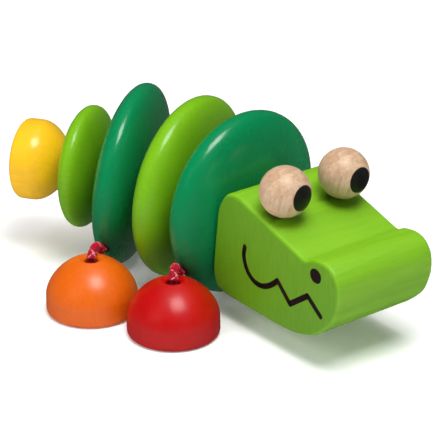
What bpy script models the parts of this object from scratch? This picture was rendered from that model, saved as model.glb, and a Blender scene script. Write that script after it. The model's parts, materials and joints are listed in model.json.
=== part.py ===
"""Pull-along wooden crocodile: sawn head block, ball eyes, four lens-shaped discs and a
tail cup strung on one elastic cord, and four domed feet hung from the dark discs on cords.

Units are metres, +Z is up, +X runs from the tail to the head.
"""
import bpy
import bmesh
from math import cos, sin, pi, radians, acos
from mathutils import Matrix, Vector

MM = 0.001

# ---- discs: name, centre x, centre y, yaw, nose-down pitch (degrees), radius, half thickness (mm) ----
AXIS_HEIGHT = 31.5
DISCS = [
    ("disc_front", 8.3, 2.9, -10.3, 2.0, 31.5, 9.1),
    ("disc_middle", -13.7, 3.4, 4.0, 4.0, 31.4, 8.9),
    ("disc_rear", -35.8, 1.0, 18.5, 5.6, 31.5, 8.4),
    ("disc_small", -52.6, -2.4, 16.0, 1.0, 21.2, 6.0),
]
LENS_EXPONENT = 2.25
BORE_R = 2.5
# cross bore for the leg cord, this far below the centre of each dark disc
LEG_BORE_R = 2.0
LEG_BORE_DROP = 16.4

# ---- tail cup and feet (mm): radius, height, plain band below the dome, eased lower edge,
# ---- flat top ring with its shallow seat, cord bore, hollow for the knot ----
FOOT_R = 15.1
FOOT_H = 18.6
FOOT_BAND = 6.2
FOOT_EDGE = 1.5
FOOT_EASE = (0.4, 0.45)
DOME_EXPONENT = 1.75
FOOT_TOP_R = 3.9
SEAT_EDGE = 0.5
SEAT_DEPTH = 0.7
FOOT_BORE_R = 2.3
RECESS_R = 7.0
RECESS_DEPTH = 6.0
# the cup's dome starts this far behind the small disc's centre
CUP_APEX_BEHIND = 7.6
CUP_YAW = 16.0
CUP_SCALE = 0.93
CUP_H = 17.4
FEET = [
    ("foot_front_right", 9.0, -37.0),
    ("foot_front_left", 23.0, 40.0),
    ("foot_rear_right", -22.5, -39.2),
    ("foot_rear_left", -48.7, 41.3),
]

# ---- cord (mm): radius, gap between neighbouring lengths, knots and their stems ----
CORD_R = 1.6
CORD_GAP = 0.35
KNOT_R = 3.0
KNOT_SHOULDER = 0.86
KNOT_REST = 0.5
LEG_STEM_DOWN = 1.6
TAIL_STEM = 2.0
# route of a leg cord: how far it leaves the disc and rises, then how it comes down into the foot
LEG_CORD_OUT = 3.5
LEG_CORD_RISE = 3.4
LEG_CORD_LIFT = 5.4
LEG_CORD_LEAN = 2.4

# ---- head block (mm): side profile, x forward from the rear foot of the block ----
HEAD_WIDTH = 39.6
HEAD_YAW = -17.0
HEAD_PITCH = 1.2
HEAD_GAP = 1.6
HEAD_SHIFT = -1.0
HEAD_LIFT = 1.2
HEAD_ENTRY = (2.1, 23.3)
HEAD_EDGE = 1.3
HEAD_PROFILE = [
    (9.4, 0.0), (31.8, 0.0), (38.5, 0.3), (43.9, 1.1), (48.1, 2.4), (52.3, 4.4),
    (57.2, 8.7), (60.1, 12.1), (62.1, 17.7), (62.4, 22.2), (61.5, 25.8), (58.9, 28.8),
    (55.1, 30.1), (50.0, 29.5), (46.4, 27.9), (41.9, 28.9), (36.3, 30.5), (19.5, 35.3),
    (13.8, 36.9), (10.0, 36.8), (7.0, 35.4), (4.7, 32.5), (3.0, 28.5), (1.9, 19.6),
    (1.1, 10.3), (1.1, 5.6), (2.4, 2.1), (5.1, 0.7),
]
ANCHOR_X = 21.0
ANCHOR_R = 4.6
ANCHOR_TOP = 27.8

# ---- eyes (mm) ----
EYE_R = 8.3
EYE_X = 27.4
EYE_Z = 42.0
EYE_LEAN = 15.95
EYE_HALF_SPAN = 12.1
EYE_TURN = {"right": 9.0, "left": 4.0}
PUPIL_R = 4.1
PUPIL_FLOOR = 6.5
DOWEL_R = 2.0
DOWEL_DEEP = 15.5
DOWEL_TOP = 3.4
FIT = 0.3

# ---- facets round each turning ----
DISC_STEPS = 40
DOME_STEPS = 6
FOOT_STEPS = 28
CORD_STEPS = 10

COLOURS = {
    "leaf_green_paint": (0.190, 0.460, 0.015),
    "dark_green_gloss": (0.004, 0.200, 0.080),
    "light_green_gloss": (0.140, 0.430, 0.020),
    "yellow_gloss": (0.900, 0.540, 0.025),
    "red_gloss": (0.580, 0.006, 0.010),
    "orange_gloss": (0.820, 0.170, 0.012),
    "natural_beech": (0.780, 0.600, 0.430),
    "black_paint": (0.008, 0.008, 0.008),
    "dowel_beech": (0.700, 0.520, 0.350),
    "crimson_cord": (0.450, 0.010, 0.040),
    "elastic_cord": (0.350, 0.010, 0.030),
}
ROUGHNESS = {
    "leaf_green_paint": 0.60,
    "natural_beech": 0.60,
    "dowel_beech": 0.70,
    "crimson_cord": 0.85,
    "elastic_cord": 0.85,
}


def clear_scene():
    """Remove every object left in the scene."""
    for obj in list(bpy.data.objects):
        bpy.data.objects.remove(obj, do_unlink=True)


def get_material(name):
    """Principled material for one slot, made on first use."""
    mat = bpy.data.materials.get(name)
    if mat is None:
        mat = bpy.data.materials.new(name)
        mat.use_nodes = True
        shader = mat.node_tree.nodes["Principled BSDF"]
        shader.inputs["Base Color"].default_value = (*COLOURS[name], 1.0)
        shader.inputs["Roughness"].default_value = ROUGHNESS.get(name, 0.28)
    return mat


def new_object(name, bm, material, smooth=True):
    """Turn a bmesh held in millimetres into a named object in metres."""
    bmesh.ops.scale(bm, vec=(MM, MM, MM), verts=bm.verts)
    bmesh.ops.recalc_face_normals(bm, faces=bm.faces)
    mesh = bpy.data.meshes.new(name)
    bm.to_mesh(mesh)
    bm.free()
    for poly in mesh.polygons:
        poly.use_smooth = smooth
    mesh.materials.append(get_material(material))
    obj = bpy.data.objects.new(name, mesh)
    bpy.context.scene.collection.objects.link(obj)
    return obj


def pose(obj, origin, yaw=0.0, pitch=0.0):
    """Place an object: pitch lowers the nose, yaw turns about +Z (degrees, mm)."""
    turn = Matrix.Rotation(radians(yaw), 4, "Z") @ Matrix.Rotation(radians(pitch), 4, "Y")
    obj.matrix_world = Matrix.Translation(Vector(origin) * MM) @ turn


def lathe(profile, steps, closed, axis="Z"):
    """Revolve (radius, height) points; an open profile starts and ends on the axis."""
    bm = bmesh.new()
    rings = []
    for radius, height in profile:
        ring = []
        count = 1 if radius < 1e-6 else steps
        for k in range(count):
            a = 2.0 * pi * k / steps
            if axis == "Z":
                co = (radius * cos(a), radius * sin(a), height)
            else:
                co = (height, radius * cos(a), radius * sin(a))
            ring.append(bm.verts.new(co))
        rings.append(ring)
    pairs = list(zip(rings, rings[1:]))
    if closed:
        pairs.append((rings[-1], rings[0]))
    for low, high in pairs:
        for k in range(steps):
            n = (k + 1) % steps
            if len(low) == 1:
                bm.faces.new((low[0], high[n], high[k]))
            elif len(high) == 1:
                bm.faces.new((low[k], low[n], high[0]))
            else:
                bm.faces.new((low[k], low[n], high[n], high[k]))
    return bm


def sweep(points, radius, steps):
    """Round cord with flat ends along a list of points (mm)."""
    pts = [Vector(p) for p in points]
    bm = bmesh.new()
    rings = []
    side = None
    for i, p in enumerate(pts):
        ahead = pts[min(i + 1, len(pts) - 1)] - p
        behind = p - pts[max(i - 1, 0)]
        tangent = (ahead.normalized() + behind.normalized()).normalized()
        if side is None:
            helper = Vector((0, 0, 1)) if abs(tangent.z) < 0.9 else Vector((1, 0, 0))
            side = helper.cross(tangent).normalized()
        side = (side - tangent * side.dot(tangent)).normalized()
        other = tangent.cross(side)
        ring = []
        for k in range(steps):
            a = 2.0 * pi * k / steps
            ring.append(bm.verts.new(p + side * (radius * cos(a)) + other * (radius * sin(a))))
        rings.append(ring)
    for low, high in zip(rings, rings[1:]):
        for k in range(steps):
            n = (k + 1) % steps
            bm.faces.new((low[k], low[n], high[n], high[k]))
    bm.faces.new(list(reversed(rings[0])))
    bm.faces.new(rings[-1])
    return bm


def cylinder_cutter(radius, start, end, steps=20):
    """Cutting cylinder between two points given in the target's local frame (mm)."""
    bm = sweep([start, end], radius, steps)
    cutter = new_object("cutter", bm, "black_paint", smooth=False)
    cutter.hide_render = True
    cutter.display_type = "WIRE"
    return cutter


def subtract(obj, cutters):
    """Cut the given solids out of obj while it still sits at the world origin."""
    for cutter in cutters:
        mod = obj.modifiers.new("cut", "BOOLEAN")
        mod.operation = "DIFFERENCE"
        mod.solver = "EXACT"
        mod.object = cutter
        graph = bpy.context.evaluated_depsgraph_get()
        mesh = bpy.data.meshes.new_from_object(obj.evaluated_get(graph))
        obj.modifiers.clear()
        old = obj.data
        obj.data = mesh
        bpy.data.meshes.remove(old)
        bpy.data.objects.remove(cutter, do_unlink=True)


def heading(yaw, pitch=0.0):
    """Forward unit vector of a piece turned by yaw and lowered by pitch (degrees)."""
    flat = cos(radians(pitch))
    return Vector((cos(radians(yaw)) * flat, sin(radians(yaw)) * flat, -sin(radians(pitch))))


def sideways(yaw):
    """Horizontal unit vector to the left of a piece turned by yaw degrees."""
    return Vector((-sin(radians(yaw)), cos(radians(yaw)), 0.0))


def disc_centre(index):
    """Centre of one disc (mm)."""
    return Vector((DISCS[index][1], DISCS[index][2], AXIS_HEIGHT))


def disc_pole(index, side):
    """Point on a disc's axis just clear of its front (+1) or rear (-1) face (mm)."""
    yaw, pitch, half = DISCS[index][3], DISCS[index][4], DISCS[index][6]
    return disc_centre(index) + heading(yaw, pitch) * (side * half)


def lens_profile(radius, half):
    """Closed (radius, offset) loop of a rounded lens with a round bore."""
    last = acos((BORE_R / radius) ** (LENS_EXPONENT / 2.0))
    count = 13
    loop = []
    for k in range(count):
        a = -last + 2.0 * last * k / (count - 1)
        r = radius * abs(cos(a)) ** (2.0 / LENS_EXPONENT)
        s = 1.0 if a > 0 else -1.0
        x = half * s * abs(sin(a)) ** (2.0 / LENS_EXPONENT)
        loop.append((r, x))
    return loop


def build_disc(index):
    """One rounded disc; the dark ones also carry the crosswise leg bore."""
    name, x, y, yaw, pitch, radius, half = DISCS[index]
    slot = "dark_green_gloss" if index in (0, 2) else "light_green_gloss"
    bm = lathe(lens_profile(radius, half), DISC_STEPS, True, axis="X")
    disc = new_object(name, bm, slot)
    if index in (0, 2):
        reach = radius + 4.0
        low = (0.0, -reach, -LEG_BORE_DROP)
        high = (0.0, reach, -LEG_BORE_DROP)
        subtract(disc, [cylinder_cutter(LEG_BORE_R, low, high, 12)])
    pose(disc, (x, y, AXIS_HEIGHT), yaw, pitch)


def dome_profile(height=FOOT_H, scale=1.0):
    """Closed loop of the foot and cup turning: base, band, dome, bore and knot recess."""
    loop = [(RECESS_R, 0.0), (FOOT_R - FOOT_EDGE, 0.0), (FOOT_R - FOOT_EASE[0], FOOT_EASE[1])]
    loop += [(FOOT_R, FOOT_EDGE), (FOOT_R, FOOT_BAND)]
    rise = height - FOOT_BAND
    power = 2.0 / DOME_EXPONENT
    last = acos((FOOT_TOP_R / FOOT_R) ** (1.0 / power))
    for k in range(1, DOME_STEPS + 1):
        a = last * k / DOME_STEPS
        loop.append((FOOT_R * cos(a) ** power, FOOT_BAND + rise * (sin(a) / sin(last)) ** power))
    loop += [(FOOT_TOP_R - SEAT_EDGE, height - SEAT_DEPTH), (FOOT_BORE_R, height - SEAT_DEPTH)]
    loop += [(FOOT_BORE_R, RECESS_DEPTH), (RECESS_R, RECESS_DEPTH)]
    return [(r * scale, z * scale) for r, z in loop]


def knot_profile(stem_top):
    """Cord stem with a round knot below it, revolved as one solid."""
    centre = KNOT_R + KNOT_REST
    loop = [(0.0, centre - KNOT_R)]
    for k in range(1, 6):
        a = -pi / 2 + pi * k / 7.0
        loop.append((KNOT_R * cos(a), centre + KNOT_R * sin(a)))
    loop += [(CORD_R, centre + KNOT_R * KNOT_SHOULDER), (CORD_R, stem_top), (0.0, stem_top)]
    return loop


def build_foot(index):
    """One domed foot standing on the ground, with the knotted cord end inside it."""
    name, x, y = FEET[index]
    slot = "red_gloss" if "front" in name else "orange_gloss"
    foot = new_object(name, lathe(dome_profile(), FOOT_STEPS, True), slot)
    pose(foot, (x, y, 0.0))
    stem = lathe(knot_profile(FOOT_H - LEG_STEM_DOWN), CORD_STEPS, False)
    knot = new_object(name + "_knot", stem, "crimson_cord")
    pose(knot, (x, y, 0.0))


def build_cup():
    """Tail cup: the same turning laid on its side, dome towards the small disc."""
    apex = disc_centre(3) - heading(DISCS[3][3]) * CUP_APEX_BEHIND
    base = apex - heading(CUP_YAW) * (CUP_H * CUP_SCALE)
    turning = lathe(dome_profile(CUP_H, CUP_SCALE), FOOT_STEPS, True)
    cup = new_object("tail_cup", turning, "yellow_gloss")
    lay = Matrix.Rotation(radians(CUP_YAW), 4, "Z") @ Matrix.Rotation(radians(90.0), 4, "Y")
    cup.matrix_world = Matrix.Translation(base * MM) @ lay
    stem = lathe(knot_profile(RECESS_DEPTH + TAIL_STEM), CORD_STEPS, False)
    knot = new_object("tail_knot", stem, "elastic_cord")
    knot.matrix_world = Matrix.Translation(base * MM) @ lay


def head_matrix():
    """Matrix from the head's local frame to the world (mm)."""
    front = disc_pole(0, 1) + heading((DISCS[0][3] + HEAD_YAW) / 2.0) * HEAD_GAP
    front = front + sideways(HEAD_YAW) * HEAD_SHIFT + Vector((0.0, 0.0, HEAD_LIFT))
    turn = Matrix.Rotation(radians(HEAD_YAW), 4, "Z") @ Matrix.Rotation(radians(HEAD_PITCH), 4, "Y")
    local = turn @ Vector((HEAD_ENTRY[0], 0.0, HEAD_ENTRY[1]))
    return Matrix.Translation(front - local) @ turn


def put_on_head(obj, local_origin, yaw=0.0, lean=0.0):
    """Place an object at a point of the head's local frame (mm), turned and leant forward."""
    turn = Matrix.Rotation(radians(yaw), 4, "Z") @ Matrix.Rotation(radians(lean), 4, "Y")
    at = head_matrix() @ Matrix.Translation(Vector(local_origin)) @ turn
    where = at.to_translation() * MM
    obj.matrix_world = Matrix.Translation(where) @ at.to_3x3().to_4x4()


def inset(profile, amount):
    """Profile moved inwards by a small amount along its corner bisectors."""
    out = []
    n = len(profile)
    for i in range(n):
        a = Vector(profile[i - 1])
        b = Vector(profile[i])
        c = Vector(profile[(i + 1) % n])
        d1 = (b - a).normalized()
        d2 = (c - b).normalized()
        n1 = Vector((-d1.y, d1.x))
        n2 = Vector((-d2.y, d2.x))
        mid = (n1 + n2).normalized()
        out.append(b + mid * (amount / max(mid.dot(n1), 0.5)))
    return out


def build_head():
    """Sawn head block with eased edges, dowel holes, cord bore and anchor pocket."""
    half = HEAD_WIDTH / 2.0
    bm = bmesh.new()
    stations = [
        (-half, HEAD_EDGE), (-half + 0.3 * HEAD_EDGE, 0.3 * HEAD_EDGE), (-half + HEAD_EDGE, 0.0),
        (half - HEAD_EDGE, 0.0), (half - 0.3 * HEAD_EDGE, 0.3 * HEAD_EDGE), (half, HEAD_EDGE),
    ]
    rings = []
    for y, amount in stations:
        shape = inset(HEAD_PROFILE, amount)
        rings.append([bm.verts.new((p.x, y, p.y)) for p in shape])
    count = len(HEAD_PROFILE)
    for low, high in zip(rings, rings[1:]):
        for k in range(count):
            n = (k + 1) % count
            bm.faces.new((low[k], low[n], high[n], high[k]))
    bm.faces.new(list(reversed(rings[0])))
    bm.faces.new(rings[-1])
    head = new_object("head_block", bm, "leaf_green_paint", smooth=False)
    cutters = [
        cylinder_cutter(BORE_R, (-4.0, 0.0, HEAD_ENTRY[1]), (ANCHOR_X, 0.0, HEAD_ENTRY[1]), 16),
        cylinder_cutter(ANCHOR_R, (ANCHOR_X, 0.0, -3.0), (ANCHOR_X, 0.0, ANCHOR_TOP), 20),
    ]
    for side in (-1, 1):
        centre = Vector((EYE_X, side * EYE_HALF_SPAN, EYE_Z))
        lean = Vector((sin(radians(EYE_LEAN)), 0.0, cos(radians(EYE_LEAN))))
        foot = centre - lean * (DOWEL_DEEP + FIT)
        cutters.append(cylinder_cutter(DOWEL_R + FIT, foot, centre, 16))
    subtract(head, cutters)
    put_on_head(head, (0.0, 0.0, 0.0))


def build_eye(side):
    """Ball eye with its flush black pupil and the dowel that pins it to the head."""
    y = EYE_HALF_SPAN * (1 if side == "left" else -1)
    hole_top = FIT - DOWEL_TOP
    start = acos((DOWEL_R + FIT) / EYE_R)
    profile = [(0.0, hole_top), (DOWEL_R + FIT, hole_top)]
    for k in range(12):
        a = -start + (pi / 2 + start) * k / 11.0
        profile.append((max(EYE_R * cos(a), 0.0), EYE_R * sin(a)))
    profile[-1] = (0.0, EYE_R)
    ball = new_object("eye_ball_" + side, lathe(profile, 28, False), "natural_beech")
    upright = Matrix.Rotation(radians(-EYE_LEAN), 3, "Y")
    look = upright @ heading(EYE_TURN[side])
    pocket = cylinder_cutter(PUPIL_R + FIT, look * (PUPIL_FLOOR - FIT), look * (EYE_R + 3.0), 24)
    subtract(ball, [pocket])
    put_on_head(ball, (EYE_X, y, EYE_Z), 0.0, EYE_LEAN)
    edge = (EYE_R ** 2 - PUPIL_R ** 2) ** 0.5
    shape = [(0.0, PUPIL_FLOOR), (PUPIL_R, PUPIL_FLOOR), (PUPIL_R, edge)]
    for k in (3, 2, 1):
        r = PUPIL_R * k / 4.0
        shape.append((r, (EYE_R ** 2 - r ** 2) ** 0.5))
    shape.append((0.0, EYE_R))
    pupil = new_object("eye_pupil_" + side, lathe(shape, 24, False, axis="X"), "black_paint")
    put_on_head(pupil, (EYE_X, y, EYE_Z), EYE_TURN[side])
    low, high = -DOWEL_DEEP, -DOWEL_TOP
    pin = [(0.0, low), (DOWEL_R, low), (DOWEL_R, high), (0.0, high)]
    dowel = new_object("eye_dowel_" + side, lathe(pin, 16, False), "dowel_beech")
    put_on_head(dowel, (EYE_X, y, EYE_Z), 0.0, EYE_LEAN)


def gap_points():
    """Bending points of the spine cord, one in front of each strung piece (mm)."""
    neck = head_matrix() @ Vector((HEAD_ENTRY[0], 0.0, HEAD_ENTRY[1]))
    points = [(neck + disc_pole(0, 1)) / 2.0]
    for k in range(3):
        points.append((disc_pole(k, -1) + disc_pole(k + 1, 1)) / 2.0)
    apex = disc_centre(3) - heading(DISCS[3][3]) * CUP_APEX_BEHIND
    points.append((disc_pole(3, -1) + apex) / 2.0)
    return points


def cord_object(name, points, material, origin=None):
    """Swept cord whose object origin sits on its bending point."""
    base = Vector(origin) if origin is not None else Vector(points[0])
    obj = new_object(name, sweep([Vector(p) - base for p in points], CORD_R, CORD_STEPS), material)
    obj.matrix_world = Matrix.Translation(base * MM)


def build_spine():
    """Elastic spine cord in links: each link starts at the gap in front of its disc."""
    bends = gap_points()
    to_world = head_matrix()
    knot = [(0.0, -KNOT_R)]
    for k in range(1, 8):
        a = -pi / 2 + pi * k / 8.0
        knot.append((KNOT_R * cos(a), KNOT_R * sin(a)))
    knot.append((0.0, KNOT_R))
    anchor = new_object("anchor_knot", lathe(knot, 14, False), "elastic_cord")
    put_on_head(anchor, (ANCHOR_X, 0.0, HEAD_ENTRY[1]))
    inner = to_world @ Vector((ANCHOR_X - KNOT_R - 0.2, 0.0, HEAD_ENTRY[1]))
    neck = to_world @ Vector((HEAD_ENTRY[0], 0.0, HEAD_ENTRY[1]))
    short = (neck - bends[0]).normalized() * CORD_GAP
    cord_object("spine_cord_head", [inner, neck, bends[0] + short], "elastic_cord")
    for k in range(4):
        front = disc_pole(k, 1)
        rear = disc_pole(k, -1)
        start = bends[k] + (front - bends[k]).normalized() * CORD_GAP
        end = bends[k + 1] + (rear - bends[k + 1]).normalized() * CORD_GAP
        cord_object("spine_cord_%d" % (k + 1), [start, front, rear, end], "elastic_cord", bends[k])
    apex = disc_centre(3) - heading(DISCS[3][3]) * CUP_APEX_BEHIND
    start = bends[4] + (apex - bends[4]).normalized() * CORD_GAP
    end = apex - heading(CUP_YAW) * (CUP_H * CUP_SCALE - RECESS_DEPTH - 2.5)
    cord_object("spine_cord_5", [start, apex, end], "elastic_cord", bends[4])


def leg_exit(index, side):
    """Where a leg cord leaves a dark disc's rim: side is +1 left, -1 right (mm)."""
    yaw, pitch, radius = DISCS[index][3], DISCS[index][4], DISCS[index][5]
    reach = (radius ** 2 - LEG_BORE_DROP ** 2) ** 0.5
    down = heading(yaw, pitch).cross(sideways(yaw))
    drop = down * (-LEG_BORE_DROP)
    return disc_centre(index) + sideways(yaw) * (side * reach) + drop


def bezier(points, count):
    """Points of a cubic curve with four control points."""
    out = []
    for i in range(count + 1):
        t = i / count
        s = 1.0 - t
        w = (s ** 3, 3 * s * s * t, 3 * s * t * t, t ** 3)
        out.append(sum((Vector(p) * k for p, k in zip(points, w)), Vector()))
    return out


def build_leg_cords():
    """Leg cords: one straight length across each dark disc and one outside per foot."""
    for index, row, tag in ((0, "front", 0), (2, "rear", 2)):
        yaw = DISCS[index][3]
        right = leg_exit(index, -1)
        left = leg_exit(index, 1)
        trim = (left - right).normalized() * 0.4
        core = [right + trim, left - trim]
        cord_object("leg_cord_core_" + row, core, "crimson_cord", (right + left) / 2.0)
        for side, word, which in ((-1, "right", tag), (1, "left", tag + 1)):
            out = leg_exit(index, side)
            foot = Vector((FEET[which][1], FEET[which][2], FOOT_H - 0.2))
            away = sideways(yaw) * side
            begin = out + away * 0.7
            lift = Vector((0.0, 0.0, LEG_CORD_LIFT))
            rise = away * LEG_CORD_OUT + Vector((0.0, 0.0, LEG_CORD_RISE))
            towards = (out - foot).xy.normalized() * LEG_CORD_LEAN
            lean = lift + Vector((towards.x, towards.y, 0.0))
            control = [begin + away * 1.0, begin + rise, foot + lean, foot]
            route = [begin] + bezier(control, 9)
            cord_object("leg_cord_%s_%s" % (row, word), route, "crimson_cord", out)


def centre_on_origin():
    """Move the whole toy so its bounding box stands centred on the origin."""
    bpy.context.view_layer.update()
    corners = []
    for obj in bpy.context.scene.objects:
        corners += [obj.matrix_world @ v.co for v in obj.data.vertices]
    middle_x = (min(c.x for c in corners) + max(c.x for c in corners)) / 2.0
    middle_y = (min(c.y for c in corners) + max(c.y for c in corners)) / 2.0
    shift = Matrix.Translation((-middle_x, -middle_y, 0.0))
    for obj in bpy.context.scene.objects:
        obj.matrix_world = shift @ obj.matrix_world


def main():
    """Build every piece of the toy."""
    clear_scene()
    build_head()
    for side in ("right", "left"):
        build_eye(side)
    for index in range(len(DISCS)):
        build_disc(index)
    build_cup()
    for index in range(len(FEET)):
        build_foot(index)
    build_spine()
    build_leg_cords()
    centre_on_origin()


main()
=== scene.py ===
"""Looks of the pull-along wooden crocodile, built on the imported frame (metres, row frame)."""

import json
from math import acos, cos, pi, radians, sin, sqrt

import bmesh
import bpy
from mathutils import Matrix, Vector


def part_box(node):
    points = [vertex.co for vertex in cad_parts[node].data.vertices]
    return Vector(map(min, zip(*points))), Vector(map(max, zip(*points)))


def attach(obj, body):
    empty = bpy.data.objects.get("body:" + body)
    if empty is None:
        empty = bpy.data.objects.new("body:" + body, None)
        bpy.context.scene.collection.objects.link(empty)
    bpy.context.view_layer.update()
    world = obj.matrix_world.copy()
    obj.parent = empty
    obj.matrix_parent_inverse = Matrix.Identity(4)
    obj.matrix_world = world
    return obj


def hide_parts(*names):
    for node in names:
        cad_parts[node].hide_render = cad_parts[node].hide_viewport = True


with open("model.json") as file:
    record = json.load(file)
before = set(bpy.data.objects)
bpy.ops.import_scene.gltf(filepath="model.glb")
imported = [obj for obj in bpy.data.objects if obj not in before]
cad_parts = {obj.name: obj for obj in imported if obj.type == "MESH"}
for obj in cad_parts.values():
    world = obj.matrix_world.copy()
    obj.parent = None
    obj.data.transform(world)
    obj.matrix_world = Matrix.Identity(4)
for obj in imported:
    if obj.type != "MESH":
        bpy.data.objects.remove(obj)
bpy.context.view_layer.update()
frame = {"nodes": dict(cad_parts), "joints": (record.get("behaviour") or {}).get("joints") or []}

MM = 0.001
JOINTS = {j["name"]: j for j in frame["joints"]}

# ---- discs (mm): joint that carries the disc, radius, half thickness
DISCS = {
    "disc_front": ("roll_front", 31.5, 9.1),
    "disc_middle": ("spin_middle", 31.4, 8.9),
    "disc_rear": ("roll_rear", 31.5, 8.4),
    "disc_small": ("spin_small", 21.2, 6.0),
}
DARK_DISCS = ("disc_front", "disc_rear")
LENS_EXPONENT = 2.25
BORE_R = 2.5
# eased rim of a bore: how far outside the bore's radius, how deep below the disc's face
BORE_EASE = [(0.0, 0.9), (0.05, 0.4), (0.3, 0.08)]
LEG_BORE_R = 2.0
LEG_BORE_DROP = 16.4
LEG_BORE_PAST = 4.0

# ---- feet and tail cup (mm)
FOOT_R = 15.1
FOOT_H = 18.6
FOOT_EDGE = 1.9
FOOT_BAND = 6.2
BAND_TOP_RING = 3.5
# turned crease between band and dome: how far inward, how far above the band
BAND_CREASE = [(0.0, -0.30), (0.01, -0.16), (0.05, -0.04), (0.06, 0.04), (0.05, 0.16)]
DOME_EXPONENT = 1.75
FOOT_TOP_R = 3.9
# seat for the cord in the top: radius, depth below the top
TOP_SEAT = [(3.80, -0.01), (3.66, 0.08), (3.50, 0.22), (3.25, 0.36), (2.85, 0.50), (2.42, 0.72),
            (2.27, 1.00), (2.2, 1.5)]
FOOT_BORE_R = 2.2
RECESS_R = 7.0
RECESS_DEPTH = 6.0
RECESS_EASE = 0.3
CUP_H = 17.4
CUP_SCALE = 0.93
EDGE_STEPS = 8
DOME_STEPS = 32

# ---- cords (mm)
CORD_R = 1.6
CORD_GAP = 0.35
LEG_CORD_START = 0.5
LEG_CORD_STUB = 1.0
LEG_CORD_OUT = 3.5
LEG_CORD_RISE = 3.2
LEG_CORD_LIFT = 4.2
LEG_CORD_LEAN = 3.8
LEG_CORD_SINK = 0.5
LEG_CORD_STEPS = 24
TAIL_CORD_STOP = 8.5
SPINE_BENDS = ["neck_bend", "bend_front_middle", "bend_middle_rear", "bend_rear_small", "bend_small_tail"]
BRAID_YARNS = 6
BRAID_PITCH = 7.0
BRAID_WAVE = 0.14
BRAID_SEAT = 0.16
YARN_THICK = 0.30
YARN_WIDE = 0.45
YARN_SIDES = 6
CORE_INSET = 0.62
CORE_STEPS = 10

# ---- head block (mm): side profile, x forward from the rear foot of the block
HEAD_WIDTH = 39.6
HEAD_EDGE = 1.5
HEAD_YAW = -17.0
HEAD_PITCH = 1.2
HEAD_ENTRY_Z = 23.3
ANCHOR_X = 21.0
ANCHOR_R = 4.6
ANCHOR_TOP = 27.8
HEAD_PROFILE = [
    (9.5, 0.0), (31.8, 0.0), (38.5, 0.3), (44.0, 1.1), (48.1, 2.4), (52.3, 4.4),
    (57.3, 8.7), (60.1, 12.1), (62.1, 17.7), (62.4, 22.2), (61.5, 25.8), (58.9, 28.8),
    (55.1, 30.1), (50.0, 29.5), (46.4, 27.9), (41.9, 28.9), (36.3, 30.5), (19.5, 35.3),
    (13.8, 36.9), (10.0, 36.8), (7.0, 35.4), (4.7, 32.5), (3.0, 28.5), (1.9, 19.6),
    (1.1, 10.3), (1.1, 5.6), (2.4, 2.1), (5.1, 0.7),
]
# the profile's stretches that start at these points are straight: the base and the sloping top
STRAIGHT = {0, 16}

# ---- paint on the sides of the head (mm, same axes as the profile)
MOUTH = [
    (17.5, 21.2), (17.1, 19.4), (17.1, 17.7), (17.6, 15.9), (18.4, 14.3), (19.5, 12.9), (20.9, 11.8),
    (22.4, 11.1), (24.1, 10.8), (25.8, 10.9), (27.5, 11.3), (29.2, 12.1), (30.9, 13.2), (32.4, 14.4),
]
FANGS = [(34.0, 15.9), (40.3, 10.4), (48.5, 16.5), (54.8, 12.0)]
STROKE_WIDTH = 1.95
NOSTRIL = (51.9, 24.7)
NOSTRIL_HALF = 0.2
NOSTRIL_WIDTH = 4.9
PAINT_SINK = 0.01
PAINT_LIFT = 0.05
PAINT_EDGE = 0.10
STROKE_STEPS = 10

# ---- eyes (mm)
EYE_R = 8.3
EYE_X = 27.4
EYE_Z = 42.0
EYE_HALF_SPAN = 12.1
EYE_LEAN = 15.95
EYE_TURN = {"right": 9.0, "left": 4.0}
PUPIL_R = 4.3
PUPIL_LIFT = 0.05
PUPIL_STEPS = 15
DOWEL_MIDDLE = 9.45
DOWEL_HOLE_R = 2.3
DOWEL_HOLE_DEEP = 15.8
DOWEL_HOLE_TOP = -3.1

# ---- camera (degrees, metres) and the room's even light
VIEW_ELEVATION = 24.0
VIEW_AZIMUTH = 35.0
VIEW_DISTANCE = 0.70
VIEW_TARGET = (-0.001301, -0.00105, 0.025)
VIEW_LENS = 174.6
WORLD_LIGHT = 0.07


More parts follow.
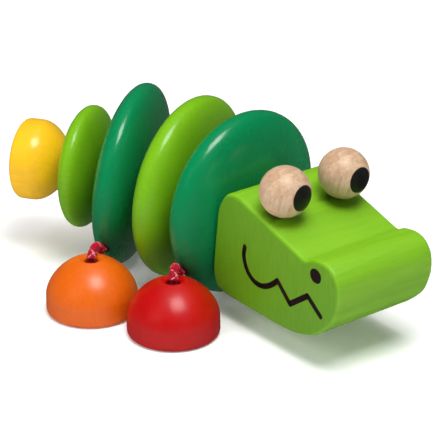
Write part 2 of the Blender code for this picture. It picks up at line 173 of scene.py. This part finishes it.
# ---------------------------------------------------------------- node helpers
class Mat:
    """Small helper that builds one node material."""

    def __init__(self, name):
        self.mat = bpy.data.materials.new(name)
        self.mat.use_nodes = True
        self.tree = self.mat.node_tree
        self.shader = self.tree.nodes["Principled BSDF"]
        self.coord = self.tree.nodes.new("ShaderNodeTexCoord").outputs["Object"]

    def put(self, socket, value):
        """Link an output or set a constant on an input socket."""
        if hasattr(value, "is_output"):
            self.tree.links.new(value, socket)
        elif value is not None:
            socket.default_value = value

    def node(self, kind, out=0, **inputs):
        """Add a node: p_ sets a property, i0 to i9 an input by number, anything else an input by name."""
        n = self.tree.nodes.new(kind)
        for key, value in inputs.items():
            if key.startswith("p_"):
                setattr(n, key[2:], value)
        for key, value in inputs.items():
            if not key.startswith("p_"):
                index = int(key[1:]) if key[0] == "i" and key[1:].isdigit() else key.replace("_", " ")
                self.put(n.inputs[index], value)
        return n.outputs[out]

    def mapped(self, scale, offset=(0, 0, 0)):
        """Object coordinates, scaled and moved."""
        return self.node("ShaderNodeMapping", Vector=self.coord, Scale=scale, Location=offset)

    def noise(self, vector, scale, detail=3.0, rough=0.5, distortion=0.0):
        return self.node("ShaderNodeTexNoise", Vector=vector, Scale=scale, Detail=detail,
                         Roughness=rough, Distortion=distortion)

    def math(self, op, a, b=None, c=None):
        return self.node("ShaderNodeMath", p_operation=op, i0=a, i1=b, i2=c)

    def ramp(self, value, stops):
        """Colour ramp with (position, colour) stops."""
        n = self.tree.nodes.new("ShaderNodeValToRGB")
        self.tree.links.new(value, n.inputs[0])
        ramp = n.color_ramp
        while len(ramp.elements) < len(stops):
            ramp.elements.new(0.5)
        for el, (pos, colour) in zip(ramp.elements, stops):
            el.position = pos
            el.color = (*colour, 1.0)
        return n.outputs[0]

    def mix(self, factor, a, b, blend="MIX"):
        n = self.tree.nodes.new("ShaderNodeMix")
        n.data_type = "RGBA"
        n.blend_type = blend
        self.put(n.inputs[0], factor)
        self.put(n.inputs[6], (*a, 1.0) if isinstance(a, tuple) else a)
        self.put(n.inputs[7], (*b, 1.0) if isinstance(b, tuple) else b)
        return n.outputs[2]

    def bump(self, height, strength, distance):
        out = self.node("ShaderNodeBump", Height=height, Strength=strength, Distance=distance)
        self.put(self.shader.inputs["Normal"], out)

    def set(self, **values):
        """Set inputs of the Principled shader by name."""
        for key, value in values.items():
            self.put(self.shader.inputs[key.replace("_", " ")], value)


def shade(colour, k):
    """The colour made lighter or darker, clipped at white."""
    return tuple(min(c * k, 1.0) for c in colour)


def lacquer(name, colour, rough, coat, grain_axis, peel, coat_rough):
    """Sprayed colour lacquer on turned wood: faint grain under a smooth glossy film."""
    m = Mat(name)
    stretch = [900.0, 900.0, 900.0]
    stretch[grain_axis] = 90.0
    grain = m.noise(m.mapped(tuple(stretch)), 1.0, 4.0, 0.6)
    cloud = m.noise(m.coord, 60.0, 2.0, 0.5)
    tint = m.ramp(grain, [(0.30, shade(colour, 0.94)), (0.70, shade(colour, 1.05))])
    tone = m.ramp(cloud, [(0.35, (0.93, 0.93, 0.93)), (0.65, (1.0, 1.0, 1.0))])
    base = m.mix(1.0, tint, tone, "MULTIPLY")
    m.set(Base_Color=base)
    wear = m.noise(m.coord, 130.0, 3.0, 0.6)
    m.set(Roughness=m.math("MULTIPLY_ADD", wear, 0.08, rough - 0.04))
    m.set(IOR=1.5, Specular_IOR_Level=0.22, Coat_Weight=coat, Coat_Roughness=coat_rough)
    height = m.math("ADD", m.math("MULTIPLY", grain, 0.5), m.noise(m.coord, 350.0, 2.0, 0.5))
    m.bump(height, peel, 0.0002)
    return m.mat


def stained_wood():
    """Matt green water stain on sawn hardwood; the long grain runs across the head."""
    m = Mat("stained head wood")
    long_grain = m.noise(m.mapped((1500.0, 60.0, 1500.0)), 1.0, 5.0, 0.65)
    broad = m.noise(m.mapped((260.0, 22.0, 260.0)), 1.0, 3.0, 0.5, 0.6)
    end_lines = m.noise(m.mapped((1100.0, 1500.0, 150.0)), 1.0, 4.0, 0.6)
    pores = m.node("ShaderNodeTexVoronoi", Vector=m.mapped((1900.0, 260.0, 1900.0)), Scale=1.0)
    geo = m.tree.nodes.new("ShaderNodeNewGeometry")
    to_object = m.node("ShaderNodeVectorTransform", Vector=geo.outputs["Normal"], p_vector_type="NORMAL",
                       p_convert_from="WORLD", p_convert_to="OBJECT")
    side = m.node("ShaderNodeSeparateXYZ", out=1, Vector=to_object)
    side = m.math("MULTIPLY", side, side)
    side = m.node("ShaderNodeMapRange", Value=side, i1=0.35, i2=0.85)
    face = m.ramp(long_grain, [(0.28, (0.150, 0.370, 0.005)), (0.50, (0.172, 0.408, 0.007)),
                               (0.74, (0.200, 0.446, 0.012))])
    face = m.mix(0.55, face, m.ramp(broad, [(0.36, (0.150, 0.375, 0.006)), (0.62, (0.192, 0.435, 0.009))]))
    ends = m.ramp(end_lines, [(0.30, (0.108, 0.290, 0.004)), (0.52, (0.120, 0.312, 0.005)),
                              (0.75, (0.134, 0.335, 0.006))])
    base = m.mix(side, face, ends)
    pit = m.ramp(pores, [(0.05, (0.72, 0.72, 0.72)), (0.22, (1.0, 1.0, 1.0))])
    base = m.mix(0.45, base, m.mix(1.0, base, pit, "MULTIPLY"))
    m.set(Base_Color=base)
    m.set(Roughness=m.math("MULTIPLY_ADD", long_grain, 0.16, 0.46))
    m.set(IOR=1.45, Coat_Weight=0.12, Coat_Roughness=0.35)
    height = m.math("ADD", long_grain, m.math("MULTIPLY", pores, 0.5))
    m.bump(height, 0.22, 0.00025)
    return m.mat


def pale_wood(name, seed):
    """Turned beech ball: long grain with short darker flecks, thin satin lacquer."""
    m = Mat(name)
    at = m.mapped((1.0, 1.0, 1.0), (seed, seed * 0.7, 0.0))
    stretch = m.node("ShaderNodeMapping", Vector=at, Scale=(420.0, 420.0, 45.0))
    rings = m.noise(stretch, 1.0, 3.0, 0.5, 0.8)
    fine = m.noise(m.node("ShaderNodeMapping", Vector=at, Scale=(2400.0, 2400.0, 210.0)), 1.0, 4.0, 0.7)
    long_cells = m.node("ShaderNodeMapping", Vector=at, Scale=(1500.0, 1500.0, 240.0))
    flecks = m.node("ShaderNodeTexVoronoi", Vector=long_cells, Scale=1.0)
    base = m.ramp(rings, [(0.30, (0.390, 0.222, 0.128)), (0.50, (0.520, 0.345, 0.220)),
                          (0.72, (0.620, 0.450, 0.310))])
    base = m.mix(0.35, base, m.ramp(fine, [(0.32, (0.340, 0.185, 0.102)), (0.62, (0.620, 0.450, 0.310))]))
    pit = m.ramp(flecks, [(0.06, (0.66, 0.55, 0.46)), (0.20, (1.0, 1.0, 1.0))])
    base = m.mix(0.6, base, m.mix(1.0, base, pit, "MULTIPLY"))
    m.set(Base_Color=base)
    m.set(Roughness=m.math("MULTIPLY_ADD", fine, 0.15, 0.34))
    m.set(IOR=1.48, Specular_IOR_Level=0.3, Coat_Weight=0.10, Coat_Roughness=0.30)
    m.bump(fine, 0.12, 0.0002)
    return m.mat


def paint_black():
    """Satin black paint with a little unevenness."""
    m = Mat("black paint")
    spots = m.noise(m.coord, 900.0, 3.0, 0.6)
    m.set(Base_Color=m.ramp(spots, [(0.3, (0.004, 0.004, 0.004)), (0.8, (0.014, 0.014, 0.013))]))
    m.set(Roughness=m.math("MULTIPLY_ADD", spots, 0.15, 0.33), IOR=1.5, Specular_IOR_Level=0.25)
    m.bump(spots, 0.10, 0.0001)
    return m.mat


def yarn(name, dark, light):
    """Spun polyester yarn: fine filaments with a soft sheen."""
    m = Mat(name)
    fibre = m.noise(m.coord, 5200.0, 3.0, 0.7)
    patch = m.noise(m.coord, 420.0, 2.0, 0.5)
    base = m.ramp(fibre, [(0.30, dark), (0.72, light)])
    base = m.mix(1.0, base, m.ramp(patch, [(0.3, (0.78, 0.78, 0.78)), (0.7, (1.0, 1.0, 1.0))]), "MULTIPLY")
    m.set(Base_Color=base, Roughness=0.62)
    m.set(Sheen_Weight=0.06, Sheen_Roughness=0.4, IOR=1.45, Specular_IOR_Level=0.3)
    m.bump(fibre, 0.35, 0.0001)
    return m.mat


# lacquers: colour, roughness, coat, grain axis, depth of the bumps, coat roughness
MATS = {
    "leaf_green_paint": stained_wood(),
    "dark_green_gloss": lacquer("dark green lacquer", (0.0001, 0.198, 0.064), 0.28, 0.60, 0, 0.03, 0.17),
    "light_green_gloss": lacquer("light green lacquer", (0.160, 0.400, 0.006), 0.34, 0.45, 0, 0.05, 0.20),
    "yellow_gloss": lacquer("yellow lacquer", (0.880, 0.490, 0.012), 0.34, 0.55, 2, 0.06, 0.18),
    "red_gloss": lacquer("red lacquer", (0.440, 0.0003, 0.0008), 0.44, 0.50, 2, 0.28, 0.27),
    "orange_gloss": lacquer("orange lacquer", (0.680, 0.112, 0.0016), 0.44, 0.62, 2, 0.24, 0.28),
    "natural_beech": pale_wood("beech ball", 0.013),
    "dowel_beech": pale_wood("beech dowel", 0.041),
    "black_paint": paint_black(),
    "crimson_cord": yarn("crimson yarn", (0.330, 0.001, 0.010), (0.560, 0.004, 0.030)),
    "elastic_cord": yarn("elastic yarn", (0.300, 0.001, 0.010), (0.480, 0.004, 0.028)),
}
PINK = yarn("pink yarn", (0.650, 0.090, 0.150), (0.880, 0.340, 0.400))
CORE = yarn("cord core", (0.120, 0.002, 0.008), (0.240, 0.006, 0.018))

for obj in frame["nodes"].values():
    for s in obj.material_slots:
        base = s.material.name.split(".")[0] if s.material else ""
        if base in MATS:
            s.material = MATS[base]


# ---------------------------------------------------------------- mesh helpers
def finish_mesh(name, bm, body, slot, smooth=True, matrix=None, mats=None):
    """A bmesh in millimetres becomes a shown piece that rides on a body."""
    bmesh.ops.scale(bm, vec=(MM, MM, MM), verts=bm.verts)
    bmesh.ops.recalc_face_normals(bm, faces=bm.faces)
    mesh = bpy.data.meshes.new(name)
    bm.to_mesh(mesh)
    bm.free()
    for poly in mesh.polygons:
        poly.use_smooth = smooth
    for mat in mats or [MATS[slot]]:
        mesh.materials.append(mat)
    obj = bpy.data.objects.new(name, mesh)
    bpy.context.scene.collection.objects.link(obj)
    if matrix is not None:
        obj.matrix_world = matrix
    if body:
        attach(obj, body)
    return obj


def lathe(profile, steps, closed, axis="Z"):
    """Revolve (radius, height) points in millimetres."""
    bm = bmesh.new()
    rings = []
    for radius, height in profile:
        ring = []
        for k in range(1 if radius < 1e-6 else steps):
            a = 2.0 * pi * k / steps
            if axis == "Z":
                co = (radius * cos(a), radius * sin(a), height)
            else:
                co = (height, radius * cos(a), radius * sin(a))
            ring.append(bm.verts.new(co))
        rings.append(ring)
    pairs = list(zip(rings, rings[1:]))
    if closed:
        pairs.append((rings[-1], rings[0]))
    for low, high in pairs:
        for k in range(steps):
            n = (k + 1) % steps
            if len(low) == 1:
                bm.faces.new((low[0], high[n], high[k]))
            elif len(high) == 1:
                bm.faces.new((low[k], low[n], high[0]))
            else:
                bm.faces.new((low[k], low[n], high[n], high[k]))
    return bm


def cylinder(radius, start, end, steps=32):
    """Plain cylinder bmesh between two points (mm)."""
    start, end = Vector(start), Vector(end)
    bm = bmesh.new()
    bmesh.ops.create_cone(bm, cap_ends=True, segments=steps, radius1=radius, radius2=radius,
                          depth=(end - start).length)
    turn = Vector((0, 0, 1)).rotation_difference(end - start).to_matrix().to_4x4()
    bmesh.ops.transform(bm, matrix=Matrix.Translation((start + end) / 2) @ turn, verts=bm.verts)
    return bm


def cut(obj, cutters):
    """Subtract bmeshes given in the object's local millimetres, before it is placed."""
    for bm in cutters:
        tool = finish_mesh("cutter", bm, None, None, False, mats=[MATS["black_paint"]])
        mod = obj.modifiers.new("cut", "BOOLEAN")
        mod.solver = "EXACT"
        mod.object = tool
        graph = bpy.context.evaluated_depsgraph_get()
        mesh = bpy.data.meshes.new_from_object(obj.evaluated_get(graph))
        obj.modifiers.clear()
        obj.data = mesh
        bpy.data.objects.remove(tool, do_unlink=True)


def joint_at(name):
    """Joint position and axis in the row frame, metres."""
    return Vector(JOINTS[name]["pos_m"]), Vector(JOINTS[name]["axis"]).normalized()


def along(axis):
    """Rotation whose X runs along the axis and whose Y stays level."""
    x = Vector(axis).normalized()
    y = Vector((0, 0, 1)).cross(x).normalized()
    z = x.cross(y)
    return Matrix((x, y, z)).transposed().to_4x4()


AROUND = 144


# ---------------------------------------------------------------- discs
def build_discs():
    """The four lens-shaped discs, each on its own joint's axis."""
    for name, (joint, radius, half) in DISCS.items():
        centre, axis = joint_at(joint)
        last = acos((BORE_R / radius) ** (LENS_EXPONENT / 2.0))
        count = 65
        loop = []
        for k in range(count):
            a = -last + 2.0 * last * k / (count - 1)
            s = 1.0 if a > 0 else -1.0
            loop.append((radius * abs(cos(a)) ** (2 / LENS_EXPONENT),
                         half * s * abs(sin(a)) ** (2 / LENS_EXPONENT)))
        edge = loop[0][1]
        rim = [(BORE_R + out, edge + deep) for out, deep in BORE_EASE]
        far_rim = [(r, -height) for r, height in reversed(rim)]
        loop = rim + loop[2:-2] + far_rim
        slot = "dark_green_gloss" if name in DARK_DISCS else "light_green_gloss"
        disc = finish_mesh(name + "_turned", lathe(loop, AROUND, True, "X"), None, slot)
        if name in DARK_DISCS:
            reach = radius + LEG_BORE_PAST
            cut(disc, [cylinder(LEG_BORE_R, (0, -reach, -LEG_BORE_DROP), (0, reach, -LEG_BORE_DROP))])
        disc.matrix_world = Matrix.Translation(centre) @ along(axis)
        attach(disc, name)
        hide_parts(name)


# ---------------------------------------------------------------- feet and cup
def dome_loop(height=FOOT_H, scale=1.0):
    """Closed outline of a foot or the cup: base, band, crease, dome, seat, bore and recess."""
    r = FOOT_R
    loop = [(RECESS_R, 0.0), (r - FOOT_EDGE, 0.0)]
    for k in range(1, EDGE_STEPS + 1):
        a = pi / 2 * k / EDGE_STEPS
        loop.append((r - FOOT_EDGE + FOOT_EDGE * sin(a), FOOT_EDGE - FOOT_EDGE * cos(a)))
    loop.append((r, BAND_TOP_RING))
    loop += [(r - inward, FOOT_BAND + above) for inward, above in BAND_CREASE]
    rise = height - FOOT_BAND
    power = 2.0 / DOME_EXPONENT
    last = acos((FOOT_TOP_R / r) ** (1.0 / power))
    # the first step would lie inside the crease
    for k in range(2, DOME_STEPS + 1):
        a = last * k / DOME_STEPS
        loop.append((r * cos(a) ** power, FOOT_BAND + rise * (sin(a) / sin(last)) ** power))
    loop += [(radius, height - depth) for radius, depth in TOP_SEAT]
    loop += [(FOOT_BORE_R, RECESS_DEPTH + RECESS_EASE), (FOOT_BORE_R + 0.2, RECESS_DEPTH),
             (RECESS_R - RECESS_EASE, RECESS_DEPTH), (RECESS_R, RECESS_DEPTH - RECESS_EASE),
             (RECESS_R, RECESS_EASE), (RECESS_R + 0.25, 0.03)]
    return [(a * scale, b * scale) for a, b in loop]


def build_feet():
    """The four feet upright under their cords, and the tail cup lying on the spine cord."""
    for row, slot in (("front", "red_gloss"), ("rear", "orange_gloss")):
        for side in ("right", "left"):
            name = "foot_%s_%s" % (row, side)
            top, _ = joint_at("turn_%s_%s" % (row, side))
            at = Matrix.Translation((top.x, top.y, top.z - FOOT_H * MM))
            foot = finish_mesh(name + "_turned", lathe(dome_loop(), AROUND, True), name, slot, matrix=at)
            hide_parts(name)
    apex, axis = joint_at("spin_tail")
    base = apex - axis * CUP_H * CUP_SCALE * MM
    lay = along(axis) @ Matrix.Rotation(pi / 2, 4, "Y")
    turned = lathe(dome_loop(CUP_H, CUP_SCALE), AROUND, True)
    at = Matrix.Translation(base) @ lay
    cup = finish_mesh("tail_cup_turned", turned, "tail_cup", "yellow_gloss", matrix=at)
    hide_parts("tail_cup")


# ---------------------------------------------------------------- head
def head_matrix():
    """Head frame in metres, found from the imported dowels."""
    middle = Vector()
    for side in ("right", "left"):
        lo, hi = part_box("eye_dowel_" + side)
        middle += (lo + hi) / 4.0
    turn = Matrix.Rotation(radians(HEAD_YAW), 4, "Z") @ Matrix.Rotation(radians(HEAD_PITCH), 4, "Y")
    lean = radians(EYE_LEAN)
    pin = Vector((EYE_X - DOWEL_MIDDLE * sin(lean), 0.0, EYE_Z - DOWEL_MIDDLE * cos(lean)))
    local = turn @ (pin * MM)
    return Matrix.Translation(middle - local) @ turn


def smooth_outline(points, per=5):
    """Catmull-Rom through the corners, with the long flats kept straight."""
    out = []
    n = len(points)
    for i in range(n):
        p0, p1, p2, p3 = (Vector(points[(i + k) % n]) for k in (-1, 0, 1, 2))
        if i in STRAIGHT:
            out += [p1.lerp(p2, k / per) for k in range(per)]
            continue
        if (i + 1) % n in STRAIGHT:
            p3 = p2 + (p3 - p2).normalized() * (p2 - p1).length
        if (i - 1) % n in STRAIGHT:
            p0 = p1 + (p0 - p1).normalized() * (p2 - p1).length
        for k in range(per):
            t = k / per
            out.append(0.5 * ((2 * p1) + (p2 - p0) * t + (2 * p0 - 5 * p1 + 4 * p2 - p3) * t * t
                              + (3 * p1 - p0 - 3 * p2 + p3) * t ** 3))
    return out


def inset(profile, amount):
    """The closed profile moved inward by the same amount everywhere."""
    out = []
    n = len(profile)
    for i in range(n):
        a, b, c = Vector(profile[i - 1]), Vector(profile[i]), Vector(profile[(i + 1) % n])
        tangent = (c - a).normalized()
        out.append(b + Vector((-tangent.y, tangent.x)) * amount)
    return out


def build_head(to_head):
    """The sawn block with eased edges, its cord bore, anchor pocket and dowel holes."""
    half = HEAD_WIDTH / 2.0
    edge = HEAD_EDGE
    outline = smooth_outline(HEAD_PROFILE, 6)
    arc = [pi / 2 * k / 6 for k in range(7)]
    stations = [(-half + edge - edge * cos(a), edge - edge * sin(a)) for a in arc]
    stations += [(half * t, 0.0) for t in (-0.5, 0.0, 0.5)]
    stations += [(half - edge + edge * sin(a), edge - edge * cos(a)) for a in arc]
    bm = bmesh.new()
    rings = []
    for y, amount in stations:
        rings.append([bm.verts.new((p.x, y, p.y)) for p in inset(outline, amount)])
    count = len(outline)
    for low, high in zip(rings, rings[1:]):
        for k in range(count):
            n = (k + 1) % count
            bm.faces.new((low[k], low[n], high[n], high[k]))
    bm.faces.new(list(reversed(rings[0])))
    bm.faces.new(rings[-1])
    head = finish_mesh("head_block_sawn", bm, None, "leaf_green_paint")
    tools = [cylinder(BORE_R, (-4, 0, HEAD_ENTRY_Z), (ANCHOR_X, 0, HEAD_ENTRY_Z)),
             cylinder(ANCHOR_R, (ANCHOR_X, 0, -3), (ANCHOR_X, 0, ANCHOR_TOP))]
    lean = Vector((sin(radians(EYE_LEAN)), 0.0, cos(radians(EYE_LEAN))))
    for s in (-1, 1):
        eye = Vector((EYE_X, s * EYE_HALF_SPAN, EYE_Z))
        tools.append(cylinder(DOWEL_HOLE_R, eye - lean * DOWEL_HOLE_DEEP, eye))
    cut(head, tools)
    head.matrix_world = to_head
    for poly in head.data.polygons:
        poly.use_smooth = True
    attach(head, "head")
    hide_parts("head_block")


def stroke(bm, a, b, width, y, lift):
    """One stadium-shaped paint stroke lying on the side face at depth y."""
    a, b = Vector(a), Vector(b)
    d = (b - a).normalized()
    n = Vector((-d.y, d.x))
    outer, inner = [], []
    for centre, start in ((b, -pi / 2), (a, pi / 2)):
        for k in range(STROKE_STEPS + 1):
            t = start + pi * k / STROKE_STEPS
            rim = centre + (d * cos(t) + n * sin(t)) * width / 2
            raised = rim + (centre - rim) * PAINT_EDGE
            outer.append(bm.verts.new((rim.x, y, rim.y)))
            inner.append(bm.verts.new((raised.x, y + lift, raised.y)))
    count = len(outer)
    for k in range(count):
        n = (k + 1) % count
        bm.faces.new((outer[k], outer[n], inner[n], inner[k]))
    bm.faces.new(inner)


def build_face(to_head):
    """Mouth line and nostril painted on both sides of the head."""
    for side, s in (("right", -1), ("left", 1)):
        base = s * HEAD_WIDTH / 2.0 - s * PAINT_SINK
        bm = bmesh.new()
        line = MOUTH + FANGS
        for a, b in zip(line, line[1:]):
            stroke(bm, a, b, STROKE_WIDTH, base, s * PAINT_LIFT)
        x, z = NOSTRIL
        stroke(bm, (x - NOSTRIL_HALF, z), (x + NOSTRIL_HALF, z), NOSTRIL_WIDTH, base, s * PAINT_LIFT)
        finish_mesh("mouth_print_" + side, bm, "head", "black_paint", False, to_head)


def build_eyes(to_head):
    """Ball eyes leant square to the sloping top, each with a painted pupil that looks forward."""
    for side, s in (("right", -1), ("left", 1)):
        at = to_head @ Matrix.Translation(Vector((EYE_X, s * EYE_HALF_SPAN, EYE_Z)) * MM)
        lay = at @ Matrix.Rotation(radians(EYE_LEAN), 4, "Y")
        at = at @ Matrix.Rotation(radians(EYE_TURN[side]), 4, "Z")
        start = acos(DOWEL_HOLE_R / EYE_R)
        rings = 48
        profile = [(0.0, DOWEL_HOLE_TOP), (DOWEL_HOLE_R, DOWEL_HOLE_TOP),
                   (DOWEL_HOLE_R, -EYE_R * sin(start) + 0.3)]
        for k in range(rings):
            a = -start + 0.03 + (pi / 2 + start - 0.03) * k / (rings - 1)
            profile.append((max(EYE_R * cos(a), 0.0), EYE_R * sin(a)))
        profile[-1] = (0.0, EYE_R)
        turned = lathe(profile, 96, False)
        ball = finish_mesh("eye_ball_turned_" + side, turned, "head", "natural_beech", matrix=lay)
        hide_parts("eye_ball_" + side)
        reach = sqrt(EYE_R ** 2 - PUPIL_R ** 2)
        cap = [(PUPIL_R, reach), (PUPIL_R - 0.02, reach + PUPIL_LIFT)]
        for k in range(PUPIL_STEPS, -1, -1):
            r = (PUPIL_R - 0.05) * k / PUPIL_STEPS
            cap.append((r, sqrt((EYE_R + PUPIL_LIFT) ** 2 - r * r)))
        painted = lathe(cap, 64, False, "X")
        pupil = finish_mesh("eye_pupil_paint_" + side, painted, "head", "black_paint", matrix=at)
        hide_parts("eye_pupil_" + side)


# ---------------------------------------------------------------- cords
def resample(points, step):
    """Points at even steps along a polyline, ending on its last point."""
    out = [Vector(points[0])]
    carry = 0.0
    for a, b in zip(points, points[1:]):
        a, b = Vector(a), Vector(b)
        length = (b - a).length
        at = step - carry
        while at < length:
            out.append(a.lerp(b, at / length))
            at += step
        carry = length - (at - step)
    out.append(Vector(points[-1]))
    return out


def frames(points):
    """Centre, side and up vectors carried along a path without twist."""
    out = []
    side = None
    for i, p in enumerate(points):
        tangent = (points[min(i + 1, len(points) - 1)] - points[max(i - 1, 0)]).normalized()
        if side is None:
            helper = Vector((0, 0, 1)) if abs(tangent.z) < 0.9 else Vector((1, 0, 0))
            side = helper.cross(tangent).normalized()
        side = (side - tangent * side.dot(tangent)).normalized()
        out.append((p, side, tangent.cross(side)))
    return out


def tube(bm, line, radius, steps, mat_index):
    """Round tube with closed ends along a line of (centre, side, up)."""
    rings = []
    for p, u, v in line:
        ring = []
        for k in range(steps):
            a = 2 * pi * k / steps
            ring.append(bm.verts.new(p + u * (radius * cos(a)) + v * (radius * sin(a))))
        rings.append(ring)
    faces = []
    for low, high in zip(rings, rings[1:]):
        for k in range(steps):
            n = (k + 1) % steps
            faces.append(bm.faces.new((low[k], low[n], high[n], high[k])))
    faces.append(bm.faces.new(list(reversed(rings[0]))))
    faces.append(bm.faces.new(rings[-1]))
    for f in faces:
        f.material_index = mat_index


def braid(name, route, body, slot, nodes, flecks):
    """Round braid of yarns running both ways round a core, along a route in mm."""
    step = 0.20
    path = frames(resample(route, step))
    bm = bmesh.new()
    tube(bm, path, CORD_R - CORE_INSET, CORE_STEPS, 0)
    for way in (1, -1):
        for j in range(BRAID_YARNS):
            rings = []
            for i, (p, u, v) in enumerate(path):
                turn = 2 * pi * (i * step) / BRAID_PITCH
                a = 2 * pi * j / BRAID_YARNS + way * turn
                lift = way * BRAID_WAVE * cos(BRAID_YARNS * turn)
                out = u * cos(a) + v * sin(a)
                across = v * cos(a) - u * sin(a)
                centre = p + out * (CORD_R - YARN_THICK - BRAID_SEAT + lift)
                ring = []
                for k in range(YARN_SIDES):
                    t = 2 * pi * k / YARN_SIDES
                    offset = across * (YARN_WIDE * cos(t)) + out * (YARN_THICK * sin(t))
                    ring.append(bm.verts.new(centre + offset))
                rings.append(ring)
            pick = 2 if (way, j) in flecks else 1
            for low, high in zip(rings, rings[1:]):
                for k in range(YARN_SIDES):
                    n = (k + 1) % YARN_SIDES
                    bm.faces.new((low[k], low[n], high[n], high[k])).material_index = pick
            bm.faces.new(list(reversed(rings[0]))).material_index = pick
            bm.faces.new(rings[-1]).material_index = pick
    obj = finish_mesh(name, bm, body, slot, mats=[CORE, MATS[slot], PINK])
    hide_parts(*nodes)


def bezier(points, count):
    """Cubic curve through count + 1 points from four control points."""
    out = []
    for i in range(count + 1):
        t = i / count
        s = 1.0 - t
        w = (s ** 3, 3 * s * s * t, 3 * s * t * t, t ** 3)
        out.append(sum((Vector(p) * k for p, k in zip(points, w)), Vector()))
    return out


def build_leg_cords():
    """The visible stretch of each leg cord, from the dark disc's rim down into the foot."""
    for row, joint in (("front", "roll_front"), ("rear", "roll_rear")):
        axis = joint_at(joint)[1]
        level = Vector((-axis.y, axis.x, 0.0)).normalized()
        for side, s in (("right", -1), ("left", 1)):
            name = "%s_%s" % (row, side)
            out = joint_at("swing_" + name)[0] / MM
            foot = joint_at("turn_" + name)[0] / MM - Vector((0, 0, LEG_CORD_SINK))
            away = level * s
            begin = out + away * LEG_CORD_START
            rise = away * LEG_CORD_OUT + Vector((0, 0, LEG_CORD_RISE))
            towards = (out - foot).xy.normalized() * LEG_CORD_LEAN
            lean = Vector((towards.x, towards.y, LEG_CORD_LIFT))
            control = [begin + away * LEG_CORD_STUB, begin + rise, foot + lean, foot]
            route = [begin] + bezier(control, LEG_CORD_STEPS)
            braid("leg_cord_braid_" + name, route, "leg_" + name, "crimson_cord", ["leg_cord_" + name],
                  {(1, 0), (-1, 2)})


def build_spine():
    """The elastic cord between neighbouring bends, one braid for each link."""
    bends = [joint_at(n)[0] / MM for n in SPINE_BENDS]
    for k, (joint, _, half) in enumerate(DISCS.values()):
        centre, axis = joint_at(joint)
        centre = centre / MM
        front, rear = centre + axis * half, centre - axis * half
        start = bends[k] + (front - bends[k]).normalized() * CORD_GAP
        end = bends[k + 1] + (rear - bends[k + 1]).normalized() * CORD_GAP
        node = "spine_cord_%d" % (k + 1)
        link = "link_%d" % (k + 1)
        braid(node + "_braid", [start, front, rear, end], link, "elastic_cord", [node], {(1, 0)})
    apex, axis = joint_at("spin_tail")
    apex = apex / MM
    start = bends[4] + (apex - bends[4]).normalized() * CORD_GAP
    end = apex - axis * (CUP_H * CUP_SCALE - TAIL_CORD_STOP)
    braid("spine_cord_5_braid", [start, apex, end], "link_5", "elastic_cord", ["spine_cord_5"], {(1, 0)})


# ---------------------------------------------------------------- floor, light, camera
def area(name, size, energy, where, target):
    """Square area light that faces the target."""
    data = bpy.data.lights.new(name, "AREA")
    data.shape = "RECTANGLE"
    data.size, data.size_y = size, size
    data.energy = energy
    obj = bpy.data.objects.new(name, data)
    bpy.context.scene.collection.objects.link(obj)
    obj.location = where
    obj.rotation_euler = (target - where).to_track_quat("-Z", "Y").to_euler()
    return obj


def build_floor():
    """White paper floor that glows: weakly round the toy, which lightens the toy's shadow with painted
    light, and fully towards its far edge, so that it fades into the background.
    """
    mesh = bpy.data.meshes.new("floor")
    mesh.from_pydata([(-6, -6, 0), (6, -6, 0), (6, 6, 0), (-6, 6, 0)], [], [(0, 1, 2, 3)])
    floor = bpy.data.objects.new("floor", mesh)
    bpy.context.scene.collection.objects.link(floor)
    m = Mat("paper floor")
    fibre = m.noise(m.coord, 900.0, 3.0, 0.6)
    m.set(Base_Color=m.ramp(fibre, [(0.3, (0.93, 0.93, 0.93)), (0.7, (0.95, 0.95, 0.95))]), Roughness=0.9)
    reach = m.node("ShaderNodeVectorMath", out=1, p_operation="LENGTH", i0=m.coord)
    # painted light: the floor glows at 0.12 near the toy, lightening its shadow, rising to full glow at
    # the far edge
    glow = m.node("ShaderNodeMapRange", Value=reach, i1=0.30, i2=1.10, i3=0.12, i4=1.0)
    m.set(Emission_Color=(1.0, 1.0, 1.0, 1.0), Emission_Strength=glow)
    mesh.materials.append(m.mat)
    return floor


def build_world():
    """Weak white light from all round, and plain colours on the screen."""
    world = bpy.data.worlds.new("studio")
    world.use_nodes = True
    background = world.node_tree.nodes["Background"]
    background.inputs[0].default_value = (1.0, 1.0, 1.0, 1.0)
    background.inputs[1].default_value = WORLD_LIGHT
    bpy.context.scene.world = world
    bpy.context.scene.view_settings.view_transform = "Standard"


def build_camera(target, away):
    """Long lens from the front right, above the toy."""
    e = radians(VIEW_ELEVATION)
    where = target - away * (VIEW_DISTANCE * cos(e)) + Vector((0, 0, VIEW_DISTANCE * sin(e)))
    data = bpy.data.cameras.new("camera")
    data.sensor_width = 36.0
    data.lens = VIEW_LENS
    data.clip_start = 0.01
    cam = bpy.data.objects.new("camera", data)
    bpy.context.scene.collection.objects.link(cam)
    cam.location = where
    cam.rotation_euler = (target - where).to_track_quat("-Z", "Y").to_euler()
    bpy.context.scene.camera = cam


def build_stage():
    """Floor, even light, camera, and four lamps placed round what the camera looks at."""
    floor = build_floor()
    build_world()
    az = radians(VIEW_AZIMUTH)
    target = Vector(VIEW_TARGET)
    right = Vector((cos(az), sin(az), 0.0))
    away = Vector((-sin(az), cos(az), 0.0))
    build_camera(target, away)
    area("key", 0.36, 4.6, target + right * 0.12 - away * 0.27 + Vector((0, 0, 0.75)), target)
    top = area("top", 1.4, 14.5, target + away * 0.10 + Vector((0, 0, 1.40)), target)
    left = area("left", 0.4, 2.1, target - right * 0.50 - away * 0.42 + Vector((0, 0, 0.40)), target)
    fill = area("fill", 0.4, 0.45, target + right * 0.36 - away * 0.60 + Vector((0, 0, 0.35)), target)
    for unseen in (top, left, fill, floor):
        unseen.visible_glossy = False


build_discs()
build_feet()
TO_HEAD = head_matrix()
build_head(TO_HEAD)
build_face(TO_HEAD)
build_eyes(TO_HEAD)
build_leg_cords()
build_spine()
build_stage()
